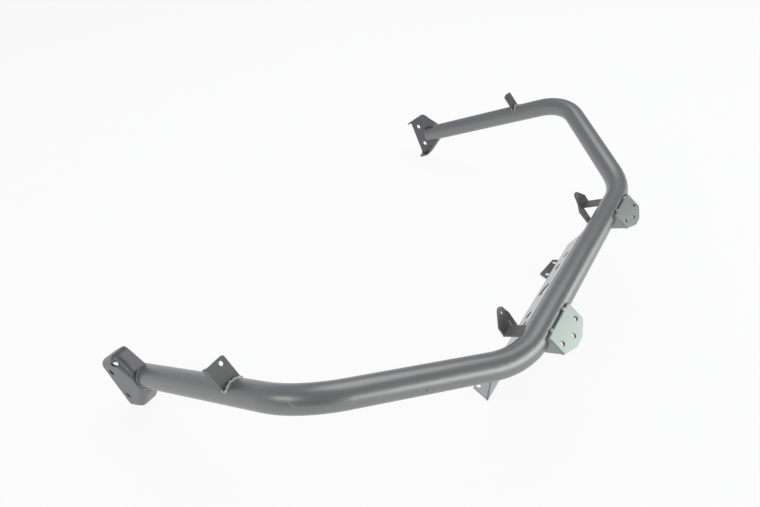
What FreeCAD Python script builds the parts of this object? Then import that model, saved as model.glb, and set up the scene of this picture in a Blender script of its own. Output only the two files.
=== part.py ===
import FreeCAD, Part
import math
import os
import Sketcher
from FreeCAD import Placement, Rotation, Vector

# Front bumper bent from one steel tube, with welded sheet brackets
# X across the vehicle, Y to the rear, Z up, standing on the floor at Z = 0

# Driving sizes in millimetres, angles in degrees
SIZES = {
    # main tube
    "tube_diameter": 44.45,
    "tube_wall": 2.5,
    "front_run": 581.0,
    "side_run": 352.4,
    "side_sweep": 40.2,
    "front_rise": 14.9,
    "arm_dip": 22.4,
    "arm_lap": 31.0,
    "front_bend": 153.6,
    "rear_bend": 122.8,
    # end brackets, measured along the arm from its bend corner and across it
    "bracket_sheet": 4.0,
    "bracket_depth": 34.0,
    "bracket_front": 415.0,
    "bracket_front_top": 24.0,
    "bracket_front_low": 26.0,
    "bracket_slope_run": 33.5,
    "bracket_top_peak": 63.2,
    "bracket_tail": 60.5,
    "bracket_back_top": 46.0,
    "bracket_back_low": 67.5,
    "bracket_low_tail": 39.0,
    "bracket_low_peak": 64.5,
    "bracket_front_bend": 16.0,
    "bracket_bend": 12.0,
    "bracket_cross_bend": 20.0,
    "bracket_corner": 18.0,
    "bracket_hole": 13.0,
    "bracket_hole_in": 21.0,
    "bracket_hole_up": 23.0,
    "bracket_hole_down": 34.0,
    "relief_width": 9.0,
    "relief_length": 22.0,
    "relief_back": 3.5,
    "relief_down": 18.2,
    # arm tabs
    "tab_sheet": 4.0,
    "tab_width": 35.0,
    "tab_lip": 15.0,
    "tab_along": 133.0,
    "tab_lean": 15.7,
    "tab_top": 61.0,
    "tab_corner": 4.0,
    "tab_hole": 8.5,
    "tab_hole_in": 7.0,
    "tab_hole_up": 52.0,
    # lamp brackets on the front run
    "lamp_sheet": 4.0,
    "lamp_middle": 195.0,
    "lamp_width": 96.0,
    "lamp_forward": 22.2,
    "lamp_above": 16.6,
    "lamp_slope": 40.0,
    "lamp_bend": 3.0,
    "lamp_side": 35.0,
    "lamp_length": 48.8,
    "lamp_nose": 27.0,
    "lamp_foot_along": 16.2,
    "lamp_foot_down": 31.2,
    "lamp_hole": 9.0,
    "lamp_outer_hole": 33.0,
    "lamp_outer_down": 24.0,
    "lamp_middle_down": 35.0,
    # front plate, measured down its slope from the axis of the front run
    "plate_sheet": 3.5,
    "plate_slope": 62.0,
    "plate_behind": 3.0,
    "plate_top": 10.0,
    "plate_top_width": 464.0,
    "plate_waist": 96.0,
    "plate_waist_width": 376.0,
    "notch_width": 344.0,
    "notch_down": 86.0,
    "plate_drop": 152.0,
    "plate_low_width": 426.0,
    "middle_hole": 33.0,
    "middle_hole_down": 117.0,
    "inner_hole": 19.0,
    "inner_hole_across": 84.5,
    "inner_hole_down": 118.8,
    "outer_hole": 17.0,
    "outer_hole_across": 122.0,
    "outer_hole_down": 107.8,
    "foot_inner": 137.0,
    "foot_outer": 238.0,
    "foot_inner_toe": 159.0,
    "foot_inner_reach": 40.0,
    "foot_outer_toe": 224.0,
    "foot_outer_reach": 32.5,
    "foot_hole": 10.0,
    "foot_hole_back": 25.0,
    "foot_hole_inner": 166.0,
    "foot_hole_space": 49.5,
    # frame ears behind the front run, measured from the hole
    "ear_sheet": 3.0,
    "ear_across": 208.1,
    "ear_behind": 69.9,
    "ear_above": 3.2,
    "ear_rise": 52.0,
    "ear_round": 10.5,
    "ear_hole": 6.6,
    "ear_cheek": 7.1,
    "ear_cheek_up": 7.7,
    "ear_inner": 15.0,
    "ear_inner_down": 11.0,
    "ear_outer": 28.0,
    "ear_outer_down": 12.0,
    "leg_end": 80.0,
    "leg_outer": 1.0,
    "slit_inner": 5.8,
    "slit_low": 21.5,
    "slit_middle": 3.5,
    "slit_top": 19.0,
    "slit_outer": 1.2,
    "strap_fold": 27.5,
    "strap_rise": 24.0,
    "strap_reach": 45.0,
    "flange_deep": 10.0,
    "flange_deep_down": 30.0,
    "flange_end": 5.0,
    # weld beads
    "bead": 4.0,
    "small_bead": 3.0,
    "bracket_bead_angle": 220.0,
    "tab_bead_angle": 96.0,
    "tack_length": 10.0,
    "tack_space": 56.0,
    "strap_bead_length": 22.0,
    "leg_bead_length": 12.0,
    "stitch_length": 40.0,
    "stitch_across": 201.0,
}

doc = FreeCAD.newDocument("front_bumper")
sheet = doc.addObject("Spreadsheet::Sheet", "Sizes")
for row, (alias, number) in enumerate(SIZES.items(), 1):
    sheet.set(f"A{row}", alias)
    sheet.set(f"B{row}", str(number))
    sheet.setAlias(f"B{row}", alias)
doc.recompute()


def size(alias):
    return float(sheet.get(alias))


def sine(alias):
    return math.sin(math.radians(size(alias)))


def cosine(alias):
    return math.cos(math.radians(size(alias)))


def cell(alias):
    return "Sizes." + alias


def bind(item, **expressions):
    for name, expression in expressions.items():
        item.setExpression(name, expression)


# Axes and turns shared by all pieces
X_AXIS = Vector(1, 0, 0)
Z_AXIS = Vector(0, 0, 1)
# Local x to the rear, local y up, local z to the right
SIDE_VIEW = Rotation(Vector(0, 1, 0), Z_AXIS, X_AXIS, "XYZ")
RADIUS = size("tube_diameter") / 2
# Largest gap and least share of a unit for picking edges and faces by place
CLOSE = 0.1
MOSTLY = 0.9
# Sketch shapes start at this size before their sizes are bound
START = 1.0
ALONG_ARM = Vector(0, cosine("arm_dip"), -sine("arm_dip"))
UP_ARM = Vector(0, sine("arm_dip"), cosine("arm_dip"))

# The lower rear corner of each end bracket stands on the floor
BRACKET_PEAK = size("bracket_front") + size("bracket_slope_run")
BRACKET_BACK = BRACKET_PEAK + size("bracket_tail")
SIDE_BACK = size("side_run") * sine("side_sweep")
CORNER = ALONG_ARM * BRACKET_BACK - UP_ARM * size("bracket_back_low")
FRONT_HEIGHT = -CORNER.z - SIDE_BACK * sine("front_rise")

# The origin is midway between the foremost and the rearmost edge
TOP_CORNER = ALONG_ARM * BRACKET_BACK + UP_ARM * size("bracket_back_top")
REARMOST = SIDE_BACK * cosine("front_rise") + TOP_CORNER.y
FOREMOST = -size("lamp_forward") - size("lamp_length") * cosine("lamp_slope")
FRONT = Vector(0, -(REARMOST + FOREMOST) / 2, FRONT_HEIGHT)


def new_body(name, placement):
    body = doc.addObject("PartDesign::Body", name)
    body.Placement = placement
    return body


def new_sketch(body, name, plane, offset=None):
    sketch = body.newObject("Sketcher::SketchObject", name)
    roles = {feature.Role: feature for feature in body.Origin.OriginFeatures}
    sketch.AttachmentSupport = [(roles[plane], "")]
    sketch.MapMode = "FlatFace"
    if offset:
        sketch.setExpression("AttachmentOffset.Base.z", offset)
    return sketch


def pin(sketch, shape, point, across, up):
    for kind, expression in (("DistanceX", across), ("DistanceY", up)):
        index = sketch.addConstraint(Sketcher.Constraint(kind, -1, 1, shape, point, START))
        sketch.setExpression(f"Constraints[{index}]", expression)


def outline(body, name, plane, corners, offset=None):
    """Closed outline through corners given as pairs of expressions."""
    sketch = new_sketch(body, name, plane, offset)
    count = len(corners)
    turn = 2 * math.pi / count
    ring = [Vector(math.cos(turn * i), math.sin(turn * i), 0) * count for i in range(count)]
    for i in range(count):
        sketch.addGeometry(Part.LineSegment(ring[i], ring[(i + 1) % count]), False)
    for i in range(count):
        sketch.addConstraint(Sketcher.Constraint("Coincident", i, 2, (i + 1) % count, 1))
    for i, (across, up) in enumerate(corners):
        pin(sketch, i, 1, across, up)
    return sketch


def circles(body, name, plane, centres, diameter, offset=None):
    """Equal circles with centres given as pairs of expressions."""
    sketch = new_sketch(body, name, plane, offset)
    for across, up in centres:
        shape = sketch.addGeometry(Part.Circle(Vector(START, START, 0), Z_AXIS, START), False)
        pin(sketch, shape, 3, across, up)
        index = sketch.addConstraint(Sketcher.Constraint("Diameter", shape, 2 * START))
        sketch.setExpression(f"Constraints[{index}]", diameter)
    return sketch


def pad(body, sketch, length, reverse=False, both_ways=False):
    feature = body.newObject("PartDesign::Pad", sketch.Name + "_pad")
    feature.Profile = sketch
    feature.Reversed = reverse
    feature.Midplane = both_ways
    bind(feature, Length=length)
    return feature


def pocket(body, sketch, length, reverse=False, both_ways=False):
    feature = body.newObject("PartDesign::Pocket", sketch.Name + "_pocket")
    feature.Profile = sketch
    feature.Reversed = reverse
    feature.Midplane = both_ways
    bind(feature, Length=length)
    return feature


def join(name, pieces):
    fused = doc.addObject("Part::MultiFuse", name)
    fused.Shapes = pieces
    return fused


def cut_away(name, piece, *tools):
    """The piece with the room of its neighbours taken out."""
    for number, tool in enumerate(tools, 1):
        last = number == len(tools)
        cut = doc.addObject("Part::Cut", name if last else f"{name}_less_{number}")
        cut.Base = piece
        cut.Tool = tool
        piece = cut
    return piece


def mirrored(name, piece):
    other = doc.addObject("Part::Mirroring", name)
    other.Source = piece
    other.Normal = X_AXIS
    other.Base = Vector(0, 0, 0)
    return other


def room(name, corner, turn, length, width, height):
    """Block of space for cutting, sizes given as expressions."""
    box = doc.addObject("Part::Box", name)
    box.Placement = Placement(corner, turn)
    bind(box, Length=length, Width=width, Height=height)
    return box


def drill(name, frame, start, diameter, depth):
    """Round cutter running down into a frame's plane from a start inside the frame."""
    rod = doc.addObject("Part::Cylinder", name)
    rod.Placement = Placement(frame.multVec(start), frame.Rotation * Rotation(X_AXIS, 180))
    bind(rod, Radius=cell(diameter) + " / 2", Height=depth)
    return rod


def rounded_edges(body, name, before, wanted, radius):
    """Fillet of the edges whose middle and way pass a test, with its radius as an expression."""
    edges = []
    for number, edge in enumerate(before.Shape.Edges, 1):
        if wanted(edge.CenterOfMass, edge.tangentAt(edge.FirstParameter)):
            edges.append(f"Edge{number}")
    fillet = body.newObject("PartDesign::Fillet", name)
    fillet.Base = (before, edges)
    bind(fillet, Radius=radius)
    doc.recompute()
    return fillet


# Main tube: one length bent four times, symmetric about the middle
def bent_path(corners, radii):
    edges = []
    start = corners[0]
    for before, corner, after, radius in zip(corners, corners[1:], corners[2:], radii):
        back = (before - corner).normalize()
        onward = (after - corner).normalize()
        half = back.getAngle(onward) / 2
        setback = radius / math.tan(half)
        middle = corner + (back + onward).normalize() * (radius / math.sin(half) - radius)
        edges.append(Part.LineSegment(start, corner + back * setback).toShape())
        edges.append(Part.Arc(corner + back * setback, middle, corner + onward * setback).toShape())
        start = corner + onward * setback
    edges.append(Part.LineSegment(start, corners[-1]).toShape())
    return Part.Wire(edges)


FRONT_CORNER = FRONT + X_AXIS * (size("front_run") / 2)
SIDE_WAY = Vector(cosine("side_sweep"), 0, 0)
SIDE_WAY += Vector(0, cosine("front_rise"), sine("front_rise")) * sine("side_sweep")
REAR_CORNER = FRONT_CORNER + SIDE_WAY * size("side_run")
ARM_END = REAR_CORNER + ALONG_ARM * (size("bracket_front") + size("arm_lap"))
right_half = [ARM_END, REAR_CORNER, FRONT_CORNER]
left_half = [Vector(-p.x, p.y, p.z) for p in reversed(right_half)]
bends = [size("rear_bend"), size("front_bend"), size("front_bend"), size("rear_bend")]

path = doc.addObject("Part::Feature", "tube_path")
path.Shape = bent_path(right_half + left_half, bends)


def swept_round(name, radius):
    ring = doc.addObject("Part::Circle", name + "_ring")
    ring.Placement = Placement(ARM_END, Rotation(Z_AXIS, ALONG_ARM))
    bind(ring, Radius=radius)
    sweep = doc.addObject("Part::Sweep", name)
    sweep.Sections = [ring]
    sweep.Spine = (path, [f"Edge{i + 1}" for i in range(len(path.Shape.Edges))])
    sweep.Solid = True
    return sweep


tube_solid = swept_round("tube_solid", "Sizes.tube_diameter / 2")
tube_bore = swept_round("tube_bore", "Sizes.tube_diameter / 2 - Sizes.tube_wall")
main_tube = cut_away("main_tube", tube_solid, tube_bore)


# End brackets: folded channels welded over the arm ends, with two bolt holes
BRACKET_SIDE = Placement(REAR_CORNER, Rotation(X_AXIS, -size("arm_dip")) * SIDE_VIEW)


def in_bracket_frame(point):
    return BRACKET_SIDE.inverse().multVec(point)


def inset(corners, gaps):
    """Corners of an outline listed clockwise, each side moved inwards by its own gap."""
    sides = []
    for start, end, gap in zip(corners, corners[1:] + corners[:1], gaps):
        way = (end - start).normalize()
        inward = Vector(way.y, -way.x, 0)
        sides.append((start + inward * gap, way, inward))
    moved = []
    for (start, way, _), (other, _, inward) in zip(sides[-1:] + sides[:-1], sides):
        reach = (other - start).dot(inward) / way.dot(inward)
        moved.append(start + way * reach)
    return moved


def bracket_block(name, corners, web, thinner, corner=None):
    """Solid block under a web, bent across and lengthwise, with bends smaller by the thinner size."""
    body = new_body(name + "_body", BRACKET_SIDE)
    profile = outline(body, name + "_profile", "XY_Plane", corners, str(web))
    block = pad(body, profile, cell("bracket_depth"), reverse=True)
    doc.recompute()
    box = block.Shape.BoundBox

    def on_bend(middle, way):
        return abs(way.z) > MOSTLY and box.XMin + CLOSE < middle.x < box.XMax - CLOSE

    def on_corner(middle, way):
        return box.XMax - middle.x < CLOSE and middle.z - box.ZMin < CLOSE

    bent = rounded_edges(body, name + "_bends", block, on_bend, f"Sizes.bracket_cross_bend - {thinner}")
    if corner:
        rounded_edges(body, name + "_corners", bent, on_corner, corner)
    front_bend = size("bracket_front_bend") - thinner
    bend = size("bracket_bend") - thinner
    folds = []
    for number, edge in enumerate(body.Shape.Edges, 1):
        ends = [in_bracket_frame(vertex.Point) for vertex in edge.Vertexes]
        on_web = all(abs(end.z - web) < CLOSE for end in ends)
        if on_web and abs(ends[0].x - ends[1].x) > CLOSE:
            first, last = (front_bend if abs(end.x - box.XMin) < CLOSE else bend for end in ends)
            folds.append((number, first, last))
    folded = doc.addObject("Part::Fillet", name)
    folded.Base = body
    folded.Edges = folds
    doc.recompute()
    return folded


def end_bracket():
    peak = "Sizes.bracket_front + Sizes.bracket_slope_run"
    back = peak + " + Sizes.bracket_tail"
    sheet_size = size("bracket_sheet")
    outside = bracket_block("bracket_outside", [
        (cell("bracket_front"), cell("bracket_front_top")),
        (peak, cell("bracket_top_peak")),
        (back, cell("bracket_back_top")),
        (back, "-Sizes.bracket_back_low"),
        (back + " - Sizes.bracket_low_tail", "-Sizes.bracket_low_peak"),
        (cell("bracket_front"), "-Sizes.bracket_front_low"),
    ], RADIUS + sheet_size, 0, cell("bracket_corner"))
    corners = inset([
        Vector(size("bracket_front"), size("bracket_front_top"), 0),
        Vector(BRACKET_PEAK, size("bracket_top_peak"), 0),
        Vector(BRACKET_BACK, size("bracket_back_top"), 0),
        Vector(BRACKET_BACK, -size("bracket_back_low"), 0),
        Vector(BRACKET_BACK - size("bracket_low_tail"), -size("bracket_low_peak"), 0),
        Vector(size("bracket_front"), -size("bracket_front_low"), 0),
    ], [sheet_size, sheet_size, -sheet_size, sheet_size, sheet_size, -sheet_size / 4])
    inside = bracket_block("bracket_inside", [(str(corner.x), str(corner.y)) for corner in corners],
                           RADIUS, sheet_size)
    clear = RADIUS + 2 * sheet_size
    deep = "3 * Sizes.bracket_sheet"
    across = BRACKET_BACK - size("bracket_hole_in")
    cutters = []
    for up in (size("bracket_hole_up"), -size("bracket_hole_down")):
        cutters.append(drill("bracket_hole", BRACKET_SIDE, Vector(across, up, clear), "bracket_hole", deep))
    middle = Vector(BRACKET_PEAK + size("relief_back"), size("bracket_top_peak") - size("relief_down"), clear)
    half = (size("relief_length") - size("relief_width")) / 2
    for shift in (-half, half):
        start = middle + X_AXIS * shift
        cutters.append(drill("relief_end", BRACKET_SIDE, start, "relief_width", deep))
    low = middle - Vector(half, size("relief_width") / 2, 3 * sheet_size)
    cutters.append(room("relief_middle", BRACKET_SIDE.multVec(low), BRACKET_SIDE.Rotation,
                        "Sizes.relief_length - Sizes.relief_width", cell("relief_width"), deep))
    return cut_away("end_bracket_right", outside, inside, *cutters, tube_solid)


end_bracket_right = end_bracket()
end_bracket_left = mirrored("end_bracket_left", end_bracket_right)


# Arm tabs: upright plates across the arms with a folded outer lip
def arm_tab():
    seat = REAR_CORNER + ALONG_ARM * size("tab_along")
    lean = Rotation(X_AXIS, -size("arm_dip") - size("tab_lean")) * Rotation(Z_AXIS, 90)
    body = new_body("arm_tab_body", Placement(seat, lean))
    profile = outline(body, "tab_profile", "XY_Plane", [
        ("0", "Sizes.tab_width / 2"),
        (cell("tab_sheet"), "Sizes.tab_width / 2"),
        (cell("tab_sheet"), "Sizes.tab_sheet - Sizes.tab_width / 2"),
        (cell("tab_lip"), "Sizes.tab_sheet - Sizes.tab_width / 2"),
        (cell("tab_lip"), "-Sizes.tab_width / 2"),
        ("0", "-Sizes.tab_width / 2"),
    ])
    pad(body, profile, cell("tab_top"))
    hole = circles(body, "tab_hole_ring", "YZ_Plane",
                   [(cell("tab_hole_in"), cell("tab_hole_up"))], cell("tab_hole"))
    drilled = pocket(body, hole, "4 * Sizes.tab_sheet", both_ways=True)
    doc.recompute()

    def on_corner(middle, way):
        on_top = abs(middle.z - size("tab_top")) < CLOSE
        return on_top and abs(middle.y - size("tab_width") / 2) < CLOSE

    rounded_edges(body, "tab_rounding", drilled, on_corner, cell("tab_corner"))
    return cut_away("arm_tab_right", body, tube_solid)


arm_tab_right = arm_tab()
arm_tab_left = mirrored("arm_tab_left", arm_tab_right)


# Lamp brackets: sloping plates on the front run with folded side gussets
def lamp_bracket():
    edge = FRONT + Vector(size("lamp_middle"), -size("lamp_forward"), size("lamp_above"))
    body = new_body("lamp_bracket_body", Placement(edge, Rotation(X_AXIS, 180 + size("lamp_slope"))))
    half = "Sizes.lamp_width / 2"
    nose = "Sizes.lamp_nose / 2"
    face = outline(body, "lamp_face", "XY_Plane", [
        ("-" + half, "0"),
        (half, "0"),
        (half, cell("lamp_side")),
        (nose, cell("lamp_length")),
        ("-" + nose, cell("lamp_length")),
        ("-" + half, cell("lamp_side")),
    ])
    pad(body, face, cell("lamp_sheet"))
    edge_to_axis = Vector(0, size("lamp_forward"), -size("lamp_above"))
    axis_along = -edge_to_axis.y * cosine("lamp_slope") - edge_to_axis.z * sine("lamp_slope")
    axis_down = edge_to_axis.y * sine("lamp_slope") - edge_to_axis.z * cosine("lamp_slope")
    gusset = outline(body, "lamp_gusset", "YZ_Plane", [
        ("0", "0"),
        (cell("lamp_side"), "0"),
        (cell("lamp_foot_along"), cell("lamp_foot_down")),
        (str(axis_along), str(axis_down)),
    ])
    pad(body, gusset, cell("lamp_width"), both_ways=True)
    between = outline(body, "lamp_between", "YZ_Plane", [
        ("-Sizes.lamp_length", cell("lamp_sheet")),
        ("2 * Sizes.lamp_length", cell("lamp_sheet")),
        ("2 * Sizes.lamp_length", "2 * Sizes.lamp_length"),
        ("-Sizes.lamp_length", "2 * Sizes.lamp_length"),
    ])
    channel = pocket(body, between, "Sizes.lamp_width - 2 * Sizes.lamp_sheet", both_ways=True)
    doc.recompute()

    def on_fold(middle, way):
        on_side = abs(abs(middle.x) - size("lamp_width") / 2) < CLOSE
        return on_side and abs(middle.z) < CLOSE and abs(middle.y - size("lamp_side") / 2) < CLOSE

    rounded_edges(body, "lamp_folds", channel, on_fold, cell("lamp_bend"))
    holes = circles(body, "lamp_holes", "XY_Plane", [
        ("-Sizes.lamp_outer_hole", cell("lamp_outer_down")),
        ("0", cell("lamp_middle_down")),
        (cell("lamp_outer_hole"), cell("lamp_outer_down")),
    ], cell("lamp_hole"))
    pocket(body, holes, "4 * Sizes.lamp_sheet", both_ways=True)
    return cut_away("lamp_bracket_right", body, tube_solid)


lamp_bracket_right = lamp_bracket()
lamp_bracket_left = mirrored("lamp_bracket_left", lamp_bracket_right)


# Front plate: sheet hung from the front run by two arms, with two bent legs on bolted floor tabs
PLATE_NORMAL = Vector(0, sine("plate_slope"), cosine("plate_slope"))
PLATE_DOWN = Vector(0, cosine("plate_slope"), -sine("plate_slope"))
PLATE_TURN = Rotation(X_AXIS, 180 - size("plate_slope"))
PLATE_SEAT = FRONT + PLATE_NORMAL * size("plate_behind")
PLATE_BACK = PLATE_SEAT + PLATE_NORMAL * size("plate_sheet")
PLATE_LOW = PLATE_BACK + PLATE_DOWN * size("plate_drop")


def plate_foot():
    start = Vector(0, PLATE_LOW.y, 0)
    leg = new_body("plate_leg", Placement(start, Rotation(X_AXIS, 90)))
    profile = outline(leg, "plate_leg_profile", "XY_Plane", [
        (cell("foot_inner"), "0"),
        (cell("foot_outer"), "0"),
        ("Sizes.plate_low_width / 2", str(PLATE_LOW.z)),
        (cell("foot_inner"), str(PLATE_LOW.z)),
    ])
    pad(leg, profile, cell("plate_sheet"))
    tab = new_body("plate_tab", Placement(start, Rotation()))
    profile = outline(tab, "plate_tab_profile", "XY_Plane", [
        (cell("foot_inner"), "-Sizes.plate_sheet"),
        (cell("foot_outer"), "-Sizes.plate_sheet"),
        (cell("foot_outer_toe"), cell("foot_outer_reach")),
        (cell("foot_inner_toe"), cell("foot_inner_reach")),
    ])
    pad(tab, profile, cell("plate_sheet"))
    holes = circles(tab, "foot_holes", "XY_Plane", [
        (cell("foot_hole_inner"), cell("foot_hole_back")),
        ("Sizes.foot_hole_inner + Sizes.foot_hole_space", cell("foot_hole_back")),
    ], cell("foot_hole"))
    pocket(tab, holes, "4 * Sizes.plate_sheet", both_ways=True)
    return join("plate_foot_right", [leg, tab])


def plate_sheet():
    body = new_body("front_plate_body", Placement(PLATE_SEAT, PLATE_TURN))
    right_side = [
        ("Sizes.plate_top_width / 2", "-Sizes.plate_top"),
        ("Sizes.plate_waist_width / 2", "-Sizes.plate_waist"),
        ("Sizes.plate_low_width / 2", "-Sizes.plate_drop"),
    ]
    left_side = [("-" + across, up) for across, up in reversed(right_side)]
    profile = outline(body, "plate_profile", "XY_Plane", right_side + left_side)
    pad(body, profile, cell("plate_sheet"), reverse=True)
    notch = outline(body, "plate_notch", "XY_Plane", [
        ("Sizes.notch_width / 2", "0"),
        ("Sizes.notch_width / 2", "-Sizes.notch_down"),
        ("-Sizes.notch_width / 2", "-Sizes.notch_down"),
        ("-Sizes.notch_width / 2", "0"),
    ])
    pocket(body, notch, "4 * Sizes.plate_sheet", both_ways=True)
    middle = circles(body, "plate_middle_hole", "XY_Plane", [("0", "-Sizes.middle_hole_down")],
                     cell("middle_hole"))
    pocket(body, middle, "4 * Sizes.plate_sheet", both_ways=True)
    for row in ("inner_hole", "outer_hole"):
        across = cell(row + "_across")
        down = "-" + cell(row + "_down")
        pair = circles(body, "plate_" + row + "s", "XY_Plane",
                       [(across, down), ("-" + across, down)], cell(row))
        pocket(body, pair, "4 * Sizes.plate_sheet", both_ways=True)
    return body


foot_right = plate_foot()
foot_left = mirrored("plate_foot_left", foot_right)
plate_with_feet = join("plate_with_feet", [plate_sheet(), foot_right, foot_left])
front_plate = cut_away("front_plate", plate_with_feet, tube_solid)


# Frame ears: lugs behind the front run, each with a folded strap and a leg down to the plate
EAR_FRAME = Placement(FRONT + Vector(size("ear_across"), size("ear_behind"), size("ear_above")),
                      Rotation(X_AXIS, size("ear_rise")))
STRAP_FRAME = Placement(EAR_FRAME.multVec(Vector(0, -size("strap_fold"), 0)),
                        Rotation(X_AXIS, 180 - size("strap_rise")))


def frame_ear():
    lug = new_body("ear_lug", EAR_FRAME)
    strap_end = "-Sizes.strap_fold - Sizes.ear_sheet"
    profile = outline(lug, "lug_profile", "XY_Plane", [
        (cell("ear_cheek"), cell("ear_cheek_up")),
        ("-Sizes.ear_round", "0"),
        ("-Sizes.ear_inner", "-Sizes.ear_inner_down"),
        ("-Sizes.ear_inner", "-Sizes.leg_end"),
        ("-Sizes.leg_outer", "-Sizes.leg_end"),
        ("-Sizes.slit_inner", "-Sizes.slit_low"),
        ("-Sizes.slit_middle", "-Sizes.slit_top"),
        ("-Sizes.slit_outer", "-Sizes.slit_low"),
        ("0", strap_end),
        (cell("ear_outer"), strap_end),
        (cell("ear_outer"), "-Sizes.ear_outer_down"),
    ])
    pad(lug, profile, cell("ear_sheet"), reverse=True)
    crown = circles(lug, "lug_crown", "XY_Plane", [("0", "0")], "2 * Sizes.ear_round")
    pad(lug, crown, cell("ear_sheet"), reverse=True)
    hole = circles(lug, "lug_hole", "XY_Plane", [("0", "0")], cell("ear_hole"))
    pocket(lug, hole, "4 * Sizes.ear_sheet", both_ways=True)
    flange = outline(lug, "leg_flange", "YZ_Plane", [
        ("-Sizes.ear_inner_down", "0"),
        ("-Sizes.ear_inner_down", "-Sizes.ear_sheet"),
        ("-Sizes.flange_deep_down", "-Sizes.flange_deep"),
        ("-Sizes.leg_end", "-Sizes.flange_end"),
        ("-Sizes.leg_end", "0"),
    ], "-Sizes.ear_inner")
    pad(lug, flange, cell("ear_sheet"))

    strap = new_body("ear_strap", STRAP_FRAME)
    profile = outline(strap, "strap_profile", "XY_Plane", [
        ("0", "-Sizes.ear_sheet"),
        (cell("ear_outer"), "-Sizes.ear_sheet"),
        (cell("ear_outer"), cell("strap_reach")),
        ("0", cell("strap_reach")),
    ])
    pad(strap, profile, cell("ear_sheet"))
    before = room("room_before_plate", PLATE_LOW, PLATE_TURN,
                  cell("plate_top_width"), cell("plate_drop"), cell("plate_top_width"))
    return cut_away("frame_ear_right", join("ear_joined", [lug, strap]), before, tube_solid)


frame_ear_right = frame_ear()
frame_ear_left = mirrored("frame_ear_left", frame_ear_right)


# Weld beads, each cut back to the pieces it joins
def ring_bead(name, along, middle_angle, angle):
    """Part of a ring round the right arm, angles counted from its outer side."""
    ring = doc.addObject("Part::Torus", name)
    turn = Rotation(Z_AXIS, ALONG_ARM) * Rotation(Z_AXIS, middle_angle - size(angle) / 2)
    ring.Placement = Placement(REAR_CORNER + ALONG_ARM * along, turn)
    bind(ring, Radius1="Sizes.tube_diameter / 2 + Sizes.bead / 8", Radius2=cell("bead"), Angle3=cell(angle))
    return ring


def straight_bead(name, middle, way, length, bead):
    rod = doc.addObject("Part::Cylinder", name)
    rod.Placement = Placement(middle - way * (size(length) / 2), Rotation(Z_AXIS, way))
    bind(rod, Radius=cell(bead), Height=cell(length))
    return rod


def corner_bead(name, corner, first, second, length):
    """Bead across the vehicle in the corner of two faces that look the two given ways."""
    lift = (first + second).normalize() * (size("small_bead") / 2)
    return straight_bead(name, corner + lift, X_AXIS, length, "small_bead")


bracket_ring = ring_bead("bracket_ring", size("bracket_front"), 0, "bracket_bead_angle")
front_corner = Vector(size("bracket_front"), -size("bracket_back_low"), -size("bracket_depth"))
in_bracket = room("room_in_bracket", BRACKET_SIDE.multVec(front_corner), BRACKET_SIDE.Rotation,
                  "Sizes.bracket_slope_run + Sizes.bracket_tail", "2 * Sizes.bracket_back_low",
                  "3 * Sizes.bracket_depth")
end_bracket_weld_right = cut_away("end_bracket_weld_right", bracket_ring, tube_solid, in_bracket)
end_bracket_weld_left = mirrored("end_bracket_weld_left", end_bracket_weld_right)

tab_foot = size("tab_along") + RADIUS * math.tan(math.radians(size("tab_lean")))
tab_ring = ring_bead("tab_ring", tab_foot, -90, "tab_bead_angle")
arm_tab_weld_right = cut_away("arm_tab_weld_right", tab_ring, tube_solid, arm_tab_right)
arm_tab_weld_left = mirrored("arm_tab_weld_left", arm_tab_weld_right)

lamp_edge = Vector(0, -size("lamp_forward"), size("lamp_above"))
lamp_gap = FRONT + lamp_edge * ((lamp_edge.Length + RADIUS) / (2 * lamp_edge.Length))
tacks = []
for way in (-1, 1):
    across = size("lamp_middle") + way * size("tack_space") / 2
    tacks.append(straight_bead("tack", lamp_gap + X_AXIS * across, X_AXIS, "tack_length", "bead"))
lamp_weld_right = cut_away("lamp_weld_right", join("tacks", tacks), tube_solid, lamp_bracket_right)
lamp_weld_left = mirrored("lamp_weld_left", lamp_weld_right)

# Ear beads lie where the strap meets the tube and where the leg meets the plate
EAR_UP = EAR_FRAME.Rotation.multVec(Vector(0, 1, 0))
EAR_FACE = EAR_FRAME.Rotation.multVec(Z_AXIS)
STRAP_WAY = STRAP_FRAME.Rotation.multVec(Vector(0, 1, 0))
STRAP_FACE = -STRAP_FRAME.Rotation.multVec(Z_AXIS)

strap_start = STRAP_FRAME.Base - FRONT
strap_start.x = 0
nearest = -strap_start.dot(STRAP_WAY)
beside = (strap_start + STRAP_WAY * nearest).Length
strap_touch = strap_start + STRAP_WAY * (nearest - math.sqrt(RADIUS ** 2 - beside ** 2))
strap_middle = X_AXIS * (size("ear_across") + size("ear_outer") / 2)
strap_bead = corner_bead("strap_bead", FRONT + strap_touch + strap_middle,
                         STRAP_FACE, strap_touch / RADIUS, "strap_bead_length")

above_plate = (EAR_FRAME.Base - PLATE_BACK).dot(PLATE_NORMAL)
leg_touch = EAR_FRAME.Base - EAR_UP * (above_plate / EAR_UP.dot(PLATE_NORMAL))
leg_touch -= X_AXIS * ((size("ear_inner") + size("leg_outer")) / 2)
leg_bead = corner_bead("leg_bead", leg_touch, EAR_FACE, PLATE_NORMAL, "leg_bead_length")

frame_ear_weld_right = cut_away("frame_ear_weld_right", join("ear_beads", [strap_bead, leg_bead]),
                                tube_solid, front_plate, frame_ear_right)
frame_ear_weld_left = mirrored("frame_ear_weld_left", frame_ear_weld_right)

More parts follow.
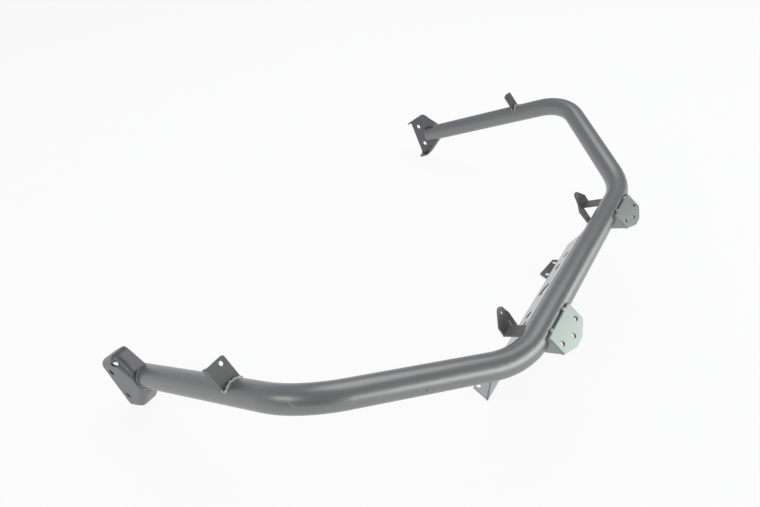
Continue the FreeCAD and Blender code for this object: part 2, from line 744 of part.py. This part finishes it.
# Plate stitches lie where the back of each plate arm meets the tube
PLATE_OFF_AXIS = size("plate_behind") + size("plate_sheet")
plate_touch = PLATE_NORMAL * PLATE_OFF_AXIS + PLATE_DOWN * math.sqrt(RADIUS ** 2 - PLATE_OFF_AXIS ** 2)
stitch_middle = FRONT + plate_touch + X_AXIS * size("stitch_across")
stitch = corner_bead("stitch", stitch_middle, PLATE_NORMAL, plate_touch / RADIUS, "stitch_length")
plate_weld_right = cut_away("plate_weld_right", stitch, tube_solid, front_plate)
plate_weld_left = mirrored("plate_weld_left", plate_weld_right)

# Checking and writing
parts = [
    main_tube,
    end_bracket_left, end_bracket_right, end_bracket_weld_left, end_bracket_weld_right,
    arm_tab_left, arm_tab_right, arm_tab_weld_left, arm_tab_weld_right,
    lamp_bracket_left, lamp_bracket_right, lamp_weld_left, lamp_weld_right,
    front_plate, plate_weld_left, plate_weld_right,
    frame_ear_left, frame_ear_right, frame_ear_weld_left, frame_ear_weld_right,
]
doc.recompute()
for item in doc.Objects:
    if "Invalid" in item.State or "Error" in item.State:
        raise RuntimeError("not built: " + item.Label)
os.makedirs("parts", exist_ok=True)
for part in parts:
    if part.Shape.isNull() or not part.Shape.isValid():
        raise RuntimeError("bad shape: " + part.Label)
    part.Shape.exportStep(f"parts/{part.Label}.step")
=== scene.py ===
import math
import random

import bmesh
import bpy
from mathutils import Matrix, Vector


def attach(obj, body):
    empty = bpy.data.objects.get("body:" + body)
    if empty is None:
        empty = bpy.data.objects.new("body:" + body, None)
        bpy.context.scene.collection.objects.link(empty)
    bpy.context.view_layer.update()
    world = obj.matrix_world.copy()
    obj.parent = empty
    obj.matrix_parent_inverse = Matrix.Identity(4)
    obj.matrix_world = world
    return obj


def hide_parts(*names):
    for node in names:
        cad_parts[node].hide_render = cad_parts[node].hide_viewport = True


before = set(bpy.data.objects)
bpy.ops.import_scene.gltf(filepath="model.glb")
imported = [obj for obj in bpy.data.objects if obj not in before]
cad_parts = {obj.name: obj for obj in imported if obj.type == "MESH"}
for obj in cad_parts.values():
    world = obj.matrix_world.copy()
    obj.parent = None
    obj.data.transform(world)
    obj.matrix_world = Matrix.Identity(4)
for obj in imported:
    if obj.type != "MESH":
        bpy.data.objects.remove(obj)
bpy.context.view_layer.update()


# Main tube. One length of round steel tube, bent four times on a mandrel and powder coated
# in a satin metallic grey after every bracket is welded on, so the coat runs over all of them.
# A short pale scuff marks the near bend, and a dark speck the run beside it.
class Shade:
    """A socket of a material, so that shading reads as plain sums."""

    def __init__(self, tree, socket=None):
        self.tree = tree
        self.socket = socket

    def make(self, kind, settings, sockets, out=0):
        node = self.tree.nodes.new(kind)
        for name, value in settings.items():
            setattr(node, name, value)
        for name, value in sockets.items():
            if isinstance(value, Shade):
                self.tree.links.new(value.socket, node.inputs[name])
            else:
                node.inputs[name].default_value = value
        return Shade(self.tree, node.outputs[out] if node.outputs else None)

    def maths(self, operation, first, second):
        return self.make("ShaderNodeMath", {"operation": operation}, {0: first, 1: second})

    def __add__(self, other):
        return self.maths("ADD", self, other)

    __radd__ = __add__

    def __sub__(self, other):
        return self.maths("SUBTRACT", self, other)

    def __rsub__(self, other):
        return self.maths("SUBTRACT", other, self)

    def __mul__(self, other):
        return self.maths("MULTIPLY", self, other)

    __rmul__ = __mul__

    def mixed(self, low, high):
        """From one colour to another as this value goes from 0 to 1."""
        return self.make("ShaderNodeMix", {"data_type": "RGBA"}, {0: self, 6: low, 7: high}, 2)


def new_material(name):
    material = bpy.data.materials.new(name)
    material.use_nodes = True
    material.node_tree.nodes.clear()
    return material, Shade(material.node_tree)


def dress(material, *nodes):
    for name in nodes:
        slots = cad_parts[name].data.materials
        slots.clear()
        slots.append(material)


def near_point(shade, place, point, reach):
    """1 at a point, falling to 0 at its reach."""
    core = 0.6 * reach
    away = shade.make("ShaderNodeVectorMath", {"operation": "DISTANCE"}, {0: place, 1: point}, "Value")
    return shade.make("ShaderNodeMapRange", {}, {
        "Value": away, "From Min": core, "From Max": reach, "To Min": 1.0, "To Max": 0.0})


def powder_coat(name, dark, light, roughness, edge, metal, marks=()):
    """Satin powder coat: slow tone drift, fine fleck, orange peel, softened edges and any marks."""
    drift_share = 0.6
    rough_spread = 0.08
    peel_strength = 0.05
    peel_depth = 0.0003
    material, shade = new_material(name)
    place = shade.make("ShaderNodeTexCoord", {}, {}, "Object")
    drift = shade.make("ShaderNodeTexNoise", {}, {"Vector": place, "Scale": 9.0, "Detail": 3.0})
    fleck = shade.make("ShaderNodeTexNoise", {}, {"Vector": place, "Scale": 1400.0, "Detail": 2.0})
    peel = shade.make("ShaderNodeTexNoise", {}, {"Vector": place, "Scale": 420.0, "Detail": 2.0})
    colour = (drift * drift_share + fleck * (1 - drift_share)).mixed(dark, light)
    for point, reach, tint in marks:
        colour = near_point(shade, place, point, reach).mixed(colour, tint)
    rounded = shade.make("ShaderNodeBevel", {"samples": 6}, {"Radius": edge})
    bump = shade.make("ShaderNodeBump", {}, {
        "Strength": peel_strength, "Distance": peel_depth, "Height": peel, "Normal": rounded})
    coat = shade.make("ShaderNodeBsdfPrincipled", {}, {
        "Base Color": colour,
        "Metallic": metal,
        "Roughness": drift * rough_spread + (roughness - rough_spread / 2),
        "Normal": bump,
    })
    shade.make("ShaderNodeOutputMaterial", {}, {"Surface": coat})
    return material


SCUFF_TINT = (0.34, 0.365, 0.35, 1)
SCUFF_START = Vector((-0.56638, -0.09394, 0.25850))
SCUFF_END = Vector((-0.56552, -0.10289, 0.25537))
SCUFF_REACH = 0.0016
SCUFF_STEPS = 6
SPECK_TINT = (0.10, 0.11, 0.10, 1)
SPECK_PLACE = Vector((-0.43551, -0.23428, 0.22855))
SPECK_REACH = 0.0022

tube_marks = [(SCUFF_START.lerp(SCUFF_END, step / SCUFF_STEPS), SCUFF_REACH, SCUFF_TINT)
              for step in range(SCUFF_STEPS + 1)]
tube_marks.append((SPECK_PLACE, SPECK_REACH, SPECK_TINT))
tube_coat = powder_coat("tube_coat", (0.222, 0.226, 0.225, 1), (0.278, 0.283, 0.281, 1),
                        roughness=0.35, edge=0.0, metal=0.65, marks=tube_marks)
dress(tube_coat, "main_tube")


# End brackets. Folded channels of thick sheet, drilled for the frame bolts and welded round
# the arm ends with a rippled bead; only the coat softens their folds and cut edges.
def lay_bead(name, node, spots, lump, coat):
    """Overlapping uneven ripples of weld in place of a plain bead."""
    wander = 0.2 * lump
    smallest = 0.75 * lump
    largest = 1.1 * lump
    draw = random.Random(name)
    ripples = bmesh.new()
    for spot in spots:
        drift = Vector([draw.uniform(-wander, wander) for axis in range(3)])
        radius = draw.uniform(smallest, largest)
        bmesh.ops.create_uvsphere(ripples, u_segments=14, v_segments=10, radius=radius,
                                  matrix=Matrix.Translation(spot + drift))
    for face in ripples.faces:
        face.smooth = True
    mesh = bpy.data.meshes.new(name)
    ripples.to_mesh(mesh)
    ripples.free()
    mesh.materials.append(coat)
    bead = bpy.data.objects.new(name, mesh)
    bpy.context.scene.collection.objects.link(bead)
    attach(bead, "root")
    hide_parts(node)


ARM_CORNER = Vector((0.559662, -0.104364, 0.256372))
ARM_WAY = Vector((0, 0.924546, -0.381070))
ARM_UP = Vector((0, 0.381070, 0.924546))
ARM_RADIUS = 0.0222


def round_arm(side, along, angle):
    """A spot on the skin of an arm, by the way along it and the angle from its outer side."""
    corner = Vector((side * ARM_CORNER.x, ARM_CORNER.y, ARM_CORNER.z))
    out = Vector((side, 0, 0))
    turn = math.radians(angle)
    return corner + ARM_WAY * along + (out * math.cos(turn) + ARM_UP * math.sin(turn)) * ARM_RADIUS


SIDES = ((-1, "left"), (1, "right"))
BRACKET_BEAD_ALONG = 0.4133
BRACKET_BEAD_ANGLES = range(-105, 106, 8)
BRACKET_BEAD_LUMP = 0.0031

# The brackets carry the tube's coat, painted darker here as painted shade.
bracket_coat_painted_shade = powder_coat("bracket_coat_painted_shade", (0.135, 0.135, 0.141, 1), (0.175, 0.175, 0.183, 1),
                           roughness=0.38, edge=0.0014, metal=0.6)
dress(bracket_coat_painted_shade, "end_bracket_left", "end_bracket_right")
ring_coat = powder_coat("ring_coat", (0.16, 0.16, 0.166, 1), (0.30, 0.30, 0.31, 1),
                        roughness=0.34, edge=0.0004, metal=0.65)
for side, word in SIDES:
    ring = [round_arm(side, BRACKET_BEAD_ALONG, angle) for angle in BRACKET_BEAD_ANGLES]
    lay_bead("end_bracket_bead_" + word, "end_bracket_weld_" + word, ring, BRACKET_BEAD_LUMP, ring_coat)

# Arm tabs. Upright plates across the arms with one hole and a folded outer lip, welded along
# the foot on both faces with a lumpy bead whose glints are painted into its colour.
TAB_FACES_ALONG = (0.1352, 0.1430)
TAB_BEAD_ANGLES = range(46, 137, 9)
TAB_BEAD_LUMP = 0.0032

# The tabs carry the tube's coat, painted darker here as painted shade.
tab_coat_painted_shade = powder_coat("tab_coat_painted_shade", (0.125, 0.126, 0.125, 1), (0.165, 0.167, 0.165, 1),
                       roughness=0.40, edge=0.0012, metal=0.6)
dress(tab_coat_painted_shade, "arm_tab_left", "arm_tab_right")
# The welds carry the tube's coat, painted lighter with pale flecks as painted glints on the lumps.
weld_coat_painted_glint = powder_coat("weld_coat_painted_glint", (0.32, 0.325, 0.33, 1), (0.66, 0.66, 0.67, 1),
                        roughness=0.28, edge=0.0004, metal=0.75)
for side, word in SIDES:
    foot = [round_arm(side, along, angle) for along in TAB_FACES_ALONG for angle in TAB_BEAD_ANGLES]
    lay_bead("arm_tab_bead_" + word, "arm_tab_weld_" + word, foot, TAB_BEAD_LUMP, weld_coat_painted_glint)

# Lamp brackets. Sloping plates with three holes and folded gussets, each tacked to the front
# run by two short beads.
TACK_MIDDLES = (0.167, 0.223)
TACK_STEPS = (-0.002, 0.0, 0.002)
TACK_Y = -0.34405
TACK_Z = 0.21290
TACK_LUMP = 0.0029

# The lamp brackets carry the tube's coat, painted lighter and greener as a painted reflection of the light
# falling on them.
lamp_coat_painted_light = powder_coat("lamp_coat_painted_light", (0.30, 0.322, 0.306, 1), (0.36, 0.386, 0.368, 1),
                        roughness=0.32, edge=0.0012, metal=0.65)
dress(lamp_coat_painted_light, "lamp_bracket_left", "lamp_bracket_right")
for side, word in SIDES:
    tacks = [Vector((side * (middle + step), TACK_Y, TACK_Z))
             for middle in TACK_MIDDLES for step in TACK_STEPS]
    lay_bead("lamp_bead_" + word, "lamp_weld_" + word, tacks, TACK_LUMP, weld_coat_painted_glint)


# Front plate. A sheet hung from the front run by two arms, with five round holes and two bent
# legs that stand on drilled floor tabs, stitched to the tube at the top of each arm.
def along_x(side, middle, length, lump):
    """Spots of a straight bead that runs across the vehicle."""
    span = length - 2 * lump
    steps = round(span / lump)
    return [Vector((side * (middle[0] - span / 2 + span * step / steps), middle[1], middle[2]))
            for step in range(steps + 1)]


STITCH_MIDDLE = (0.201, -0.30740, 0.18200)
STITCH_LENGTH = 0.040
STITCH_LUMP = 0.0022

plate_coat = powder_coat("plate_coat", (0.225, 0.226, 0.232, 1), (0.280, 0.281, 0.288, 1),
                         roughness=0.17, edge=0.0010, metal=0.65)
dress(plate_coat, "front_plate")
for side, word in SIDES:
    stitch = along_x(side, STITCH_MIDDLE, STITCH_LENGTH, STITCH_LUMP)
    lay_bead("plate_bead_" + word, "plate_weld_" + word, stitch, STITCH_LUMP, weld_coat_painted_glint)

# Frame ears. Small folded lugs behind the front run, each with a strap welded to the tube, a
# leg welded to the plate and one hole.
STRAP_MIDDLE = (0.2221, -0.30125, 0.19390)
STRAP_LENGTH = 0.022
LEG_MIDDLE = (0.2001, -0.29240, 0.15330)
LEG_LENGTH = 0.012
EAR_LUMP = 0.0021

# The ears carry the tube's coat, painted darker here as painted shade.
ear_coat_painted_shade = powder_coat("ear_coat_painted_shade", (0.165, 0.167, 0.157, 1), (0.216, 0.22, 0.208, 1),
                       roughness=0.42, edge=0.0010, metal=0.55)
dress(ear_coat_painted_shade, "frame_ear_left", "frame_ear_right")
for side, word in SIDES:
    strap_spots = along_x(side, STRAP_MIDDLE, STRAP_LENGTH, EAR_LUMP)
    leg_spots = along_x(side, LEG_MIDDLE, LEG_LENGTH, EAR_LUMP)
    lay_bead("frame_ear_bead_" + word, "frame_ear_weld_" + word, strap_spots + leg_spots, EAR_LUMP, weld_coat_painted_glint)

# Studio. A white seamless floor in a room that is dim in front and pale behind, with a soft
# light overhead, a long low panel in front that draws the pale streaks along the tube, and a
# small panel to the side that catches the near bend.
FLOOR_REACH = 20.0
FLOOR_GLOW = 0.90
ROOM_FRONT = (0.15, 0.157, 0.145, 1)
ROOM_REAR = (0.70, 0.675, 0.76, 1)
ROOM_OVERHEAD = (0.37, 0.385, 0.395, 1)

floor_mesh = bpy.data.meshes.new("studio_floor")
sheet = bmesh.new()
bmesh.ops.create_grid(sheet, x_segments=1, y_segments=1, size=FLOOR_REACH)
sheet.to_mesh(floor_mesh)
sheet.free()
floor = bpy.data.objects.new("studio_floor", floor_mesh)
bpy.context.scene.collection.objects.link(floor)
floor_white, shade = new_material("floor_white")
seen_rays = [shade.make("ShaderNodeLightPath", {}, {}, kind)
             for kind in ("Is Camera Ray", "Is Glossy Ray", "Is Transmission Ray")]
paper = shade.make("ShaderNodeBsdfDiffuse", {}, {"Color": (0.90, 0.90, 0.91, 1)})
glow = shade.make("ShaderNodeEmission", {}, {"Color": (1.0, 1.0, 1.0, 1), "Strength": 1.0})
seen = shade.make("ShaderNodeMixShader", {}, {0: sum(seen_rays) * FLOOR_GLOW, 1: paper, 2: glow})
shade.make("ShaderNodeOutputMaterial", {}, {"Surface": seen})
floor_mesh.materials.append(floor_white)

world = bpy.data.worlds.new("studio")
world.use_nodes = True
world.node_tree.nodes.clear()
shade = Shade(world.node_tree)
toward = shade.make("ShaderNodeTexCoord", {}, {}, "Generated")
rear = shade.make("ShaderNodeSeparateXYZ", {}, {"Vector": toward}, "Y")
up = shade.make("ShaderNodeSeparateXYZ", {}, {"Vector": toward}, "Z")
room_low = (rear * 0.5 + 0.5).mixed(ROOM_FRONT, ROOM_REAR)
room_tone = up.mixed(room_low, ROOM_OVERHEAD)
room = shade.make("ShaderNodeBackground", {}, {"Color": room_tone, "Strength": 1.0})
shade.make("ShaderNodeOutputWorld", {}, {"Surface": room})
bpy.context.scene.world = world


def soft_box(name, place, aim, width, height, power, colour):
    light = bpy.data.lights.new(name, "AREA")
    light.shape = "RECTANGLE"
    light.size = width
    light.size_y = height
    light.energy = power
    light.color = colour
    lamp = bpy.data.objects.new(name, light)
    lamp.location = place
    lamp.rotation_euler = (Vector(aim) - Vector(place)).to_track_quat("-Z", "Y").to_euler()
    bpy.context.scene.collection.objects.link(lamp)


soft_box("overhead_box", place=(1.1, 0.2, 2.9), aim=(0, 0, 0.2), width=2.4, height=2.4, power=28,
         colour=(1.0, 1.0, 1.0))
soft_box("front_box", place=(0.5, -3.2, 0.70), aim=(0, -0.3, 0.2), width=5.8, height=1.4, power=82,
         colour=(0.92, 1.0, 0.97))
soft_box("side_box", place=(-2.6, 1.1, 2.1), aim=(-0.56, -0.09, 0.26), width=1.5, height=0.8, power=12,
         colour=(0.92, 1.0, 0.88))

# Camera. It stands at the photograph's place with its turn and lens, the lens being given
# for a sensor 36 mm wide.
lens = bpy.data.cameras.new("photo_camera")
lens.sensor_width = 36.0
lens.lens = 27.2163
camera = bpy.data.objects.new("photo_camera", lens)
camera.location = (-0.89972, -0.50350, 0.87699)
camera.rotation_euler = [math.radians(turn) for turn in (53.1126, 3.9870, -57.6125)]
bpy.context.scene.collection.objects.link(camera)
bpy.context.scene.camera = camera
bpy.context.scene.view_settings.view_transform = "Standard"
